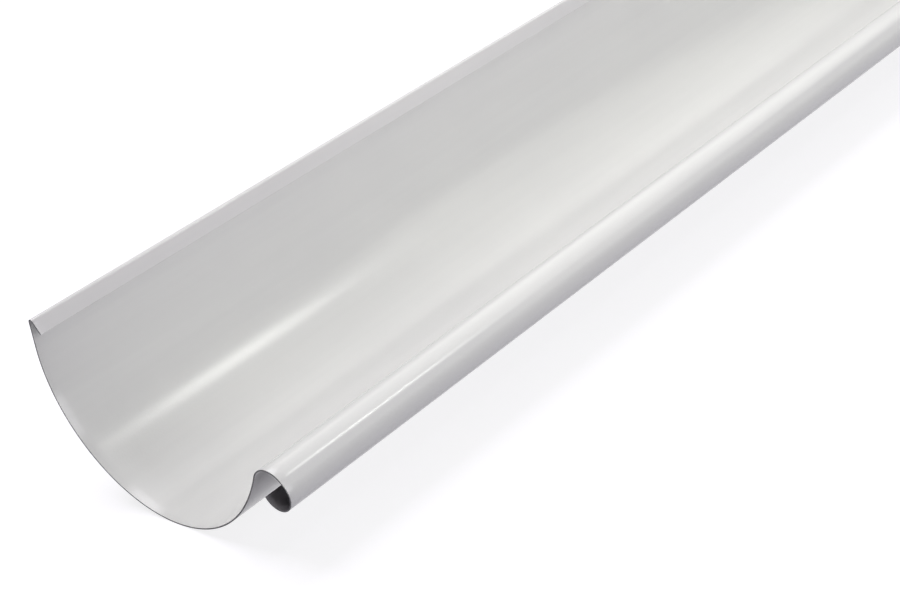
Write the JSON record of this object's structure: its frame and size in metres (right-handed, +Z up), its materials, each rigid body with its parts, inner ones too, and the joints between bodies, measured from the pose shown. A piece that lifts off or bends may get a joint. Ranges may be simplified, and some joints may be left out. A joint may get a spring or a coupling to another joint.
{
  "type": "gutter section",
  "caption": "Straight half-round eaves gutter section in thin white coated steel, with an open inward hem along the back edge and a large open rolled bead along the front edge.",
  "frame": {"origin": "on the floor halfway along the length, at the middle of the overall width, as the gutter lies loose", "axes": "+Y along the gutter, from the near cut end to the far one; +X level, from the hemmed back edge towards the beaded front edge; +Z up. The mouth is 17.9 degrees off level, down towards the bead, as the gutter comes to rest on its round back."},
  "size_m": [0.141, 2, 0.0833],
  "materials": {
    "coated_sheet": "satin coil coating, white on both faces, bare steel on the cut edges"
  },
  "bodies": {
    "root": {"gutter": "coated_sheet"}
  },
  "joints": []
}
